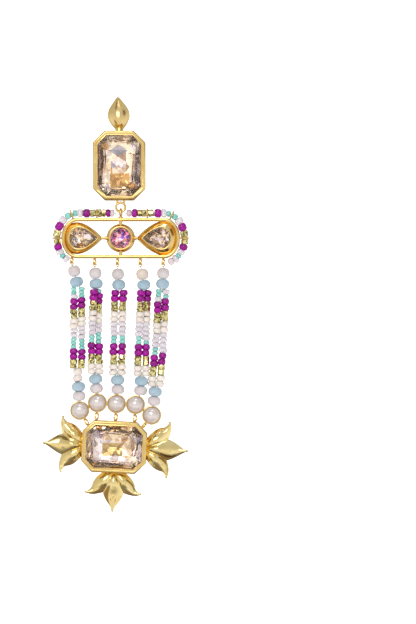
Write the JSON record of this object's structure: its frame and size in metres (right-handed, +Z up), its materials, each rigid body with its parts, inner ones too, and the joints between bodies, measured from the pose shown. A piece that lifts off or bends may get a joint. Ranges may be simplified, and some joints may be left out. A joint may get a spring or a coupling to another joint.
{
  "type": "chandelier drop earring",
  "caption": "Chandelier drop earring: a bud and octagon stone on a post hang a racetrack frame of stones, bead strands and a wide octagon medallion with pearls and flowers.",
  "frame": {"origin": "where the ear post leaves the flat back of the bud", "axes": "+Z up along the hanging length, -Y out of the front, +Y along the post towards the ear, +X to the viewer's right"},
  "size_m": [0.0406, 0.0164, 0.117],
  "materials": {
    "polished_gold": "gold plated, polished",
    "post_gold": "gold plated, plain",
    "champagne_crystal": "faceted and foiled, clear champagne",
    "smoky_crystal": "faceted and foiled, grey champagne",
    "pink_crystal": "faceted and foiled, pink",
    "pearl": "pearl lustre",
    "milky_bead": "milky, satin",
    "blue_bead": "milky pale blue, satin",
    "seed_glass": "glass seed beads in magenta, gold, cream, clear and mint"
  },
  "bodies": {
    "stud": {"upper_setting": "polished_gold", "upper_stone": "champagne_crystal", "ear_post": "post_gold"},
    "drop": {"frame": "polished_gold", "lower_setting": "polished_gold", "lower_stone": "champagne_crystal", "left_pear_stone": "smoky_crystal", "right_pear_stone": "smoky_crystal", "round_stone": "pink_crystal", "bead_edge": "seed_glass", "strand_1": "seed_glass", "top_bead_1": "milky_bead", "low_bead_1": "milky_bead", "top_rondelle_1": "blue_bead", "low_rondelle_1": "blue_bead", "pearl_1": "pearl", "strand_2": "seed_glass", "top_bead_2": "milky_bead", "low_bead_2": "milky_bead", "top_rondelle_2": "blue_bead", "low_rondelle_2": "blue_bead", "pearl_2": "pearl", "strand_3": "seed_glass", "top_bead_3": "milky_bead", "low_bead_3": "milky_bead", "top_rondelle_3": "blue_bead", "low_rondelle_3": "blue_bead", "pearl_3": "pearl", "strand_4": "seed_glass", "top_bead_4": "milky_bead", "low_bead_4": "milky_bead", "top_rondelle_4": "blue_bead", "low_rondelle_4": "blue_bead", "pearl_4": "pearl", "strand_5": "seed_glass", "top_bead_5": "milky_bead", "low_bead_5": "milky_bead", "top_rondelle_5": "blue_bead", "low_rondelle_5": "blue_bead", "pearl_5": "pearl"}
  },
  "joints": [
    {"name": "drop_swing", "type": "hinge", "parent": "stud", "child": "drop", "pos_m": [0.0004, -0.0022, -0.02738], "axis": [1, 0, 0], "range_deg": [-60, 60]}
  ]
}
